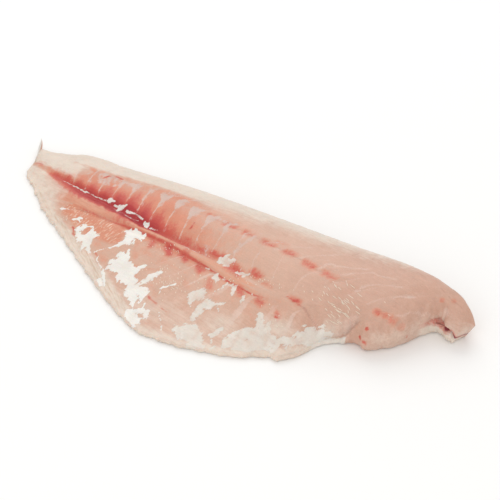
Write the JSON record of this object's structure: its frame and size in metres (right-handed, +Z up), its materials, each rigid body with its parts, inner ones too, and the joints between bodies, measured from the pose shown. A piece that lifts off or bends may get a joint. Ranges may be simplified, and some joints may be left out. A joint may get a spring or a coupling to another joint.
{
  "type": "grey mullet fillet",
  "caption": "Raw skinned grey mullet fillet lying bone side up: thick rounded loin and nape, thin belly flap, and a ridge with a blood line where the backbone was cut away.",
  "frame": {"origin": "under the middle of the fillet's box, on the surface that it lies on", "axes": "+X from the tail end to the head end, +Y from the belly edge to the back edge, +Z up, out of the bone side"},
  "size_m": [0.275, 0.1084, 0.0227],
  "materials": {
    "flesh": "moist raw white-fish flesh, pale pinkish beige, satin with wet highlights"
  },
  "bodies": {
    "root": {"fillet": "flesh"}
  },
  "joints": []
}
